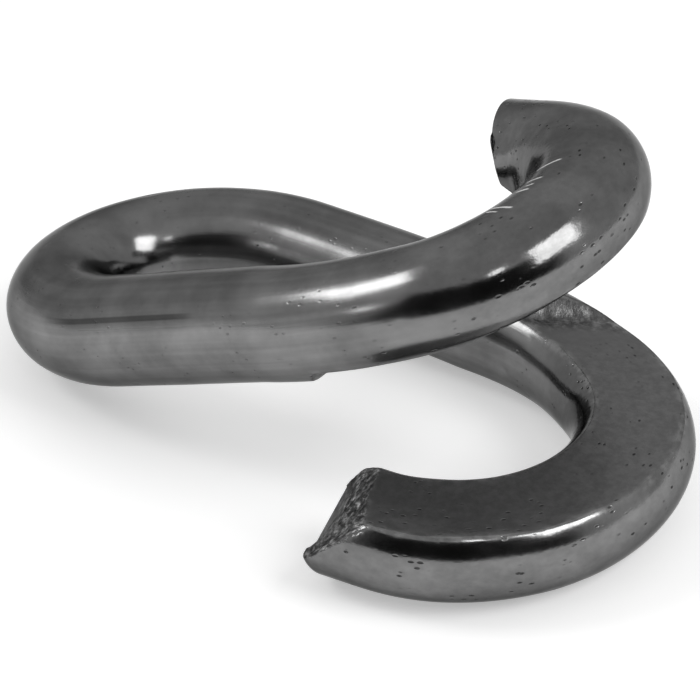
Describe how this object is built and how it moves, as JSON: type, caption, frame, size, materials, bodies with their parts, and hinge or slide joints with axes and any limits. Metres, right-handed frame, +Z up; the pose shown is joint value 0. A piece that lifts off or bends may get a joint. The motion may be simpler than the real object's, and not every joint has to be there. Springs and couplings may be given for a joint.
{
  "type": "lap link",
  "caption": "One-piece lap link bent from round steel bar: a closed bow and two flat-lapped hooks, shown twisted open before it is closed.",
  "frame": {"origin": "middle of the link's box in plan, on the floor that the link rests on", "axes": "+Z up from the floor; +X along the link's long axis, from the bow to the hooks; +Y towards the arm whose hook lies on the floor"},
  "size_m": [0.0684, 0.0428, 0.029],
  "materials": {
    "steel": "self-colour dark forged steel, smooth and lightly polished, with drawing marks and small pits"
  },
  "bodies": {
    "root": {"lap_link": "steel"}
  },
  "joints": []
}
